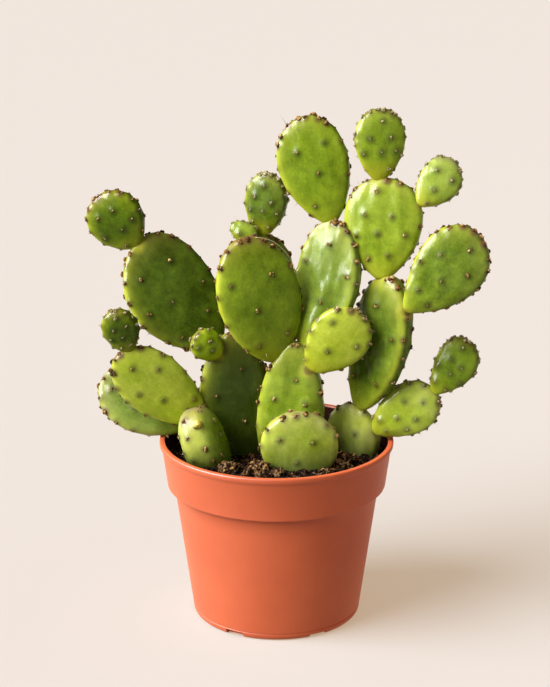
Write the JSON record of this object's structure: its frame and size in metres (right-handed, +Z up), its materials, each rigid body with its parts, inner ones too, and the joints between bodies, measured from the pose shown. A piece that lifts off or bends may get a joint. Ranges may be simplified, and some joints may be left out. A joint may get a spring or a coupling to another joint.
{
  "type": "potted paddle cactus",
  "caption": "Prickly pear of flat oval pads that grow out of each other's rims, rooted in soil in a terracotta-coloured plastic nursery pot; stands on its flat base.",
  "frame": {"origin": "centre of the pot's flat underside", "axes": "+Z up; +X to the right as seen in the picture; the picture looks along +Y, so the plant's front faces -Y"},
  "size_m": [0.202, 0.12, 0.2652],
  "materials": {
    "pot_plastic": "satin",
    "potting_soil": "matte",
    "pad_skin": "satin",
    "bud_skin": "satin"
  },
  "bodies": {
    "root": {"pot": "pot_plastic", "soil": "potting_soil", "trunk_left": "pad_skin", "left_large": "pad_skin", "left_top": "pad_skin", "left_bud": "pad_skin", "trunk_middle": "pad_skin", "middle_large": "pad_skin", "middle_back": "pad_skin", "middle_top": "pad_skin", "back_small": "pad_skin", "centre_tall": "pad_skin", "crown_large": "pad_skin", "right_bright": "pad_skin", "trunk_right": "pad_skin", "right_tall": "pad_skin", "right_upper": "pad_skin", "crown_small": "pad_skin", "far_right_top": "pad_skin", "right_large": "pad_skin", "right_low": "pad_skin", "right_end": "pad_skin", "front_left": "pad_skin", "front_middle": "pad_skin", "low_left_back": "pad_skin", "low_left": "pad_skin", "low_left_tip": "pad_skin", "yellow_bud": "bud_skin"}
  },
  "joints": []
}
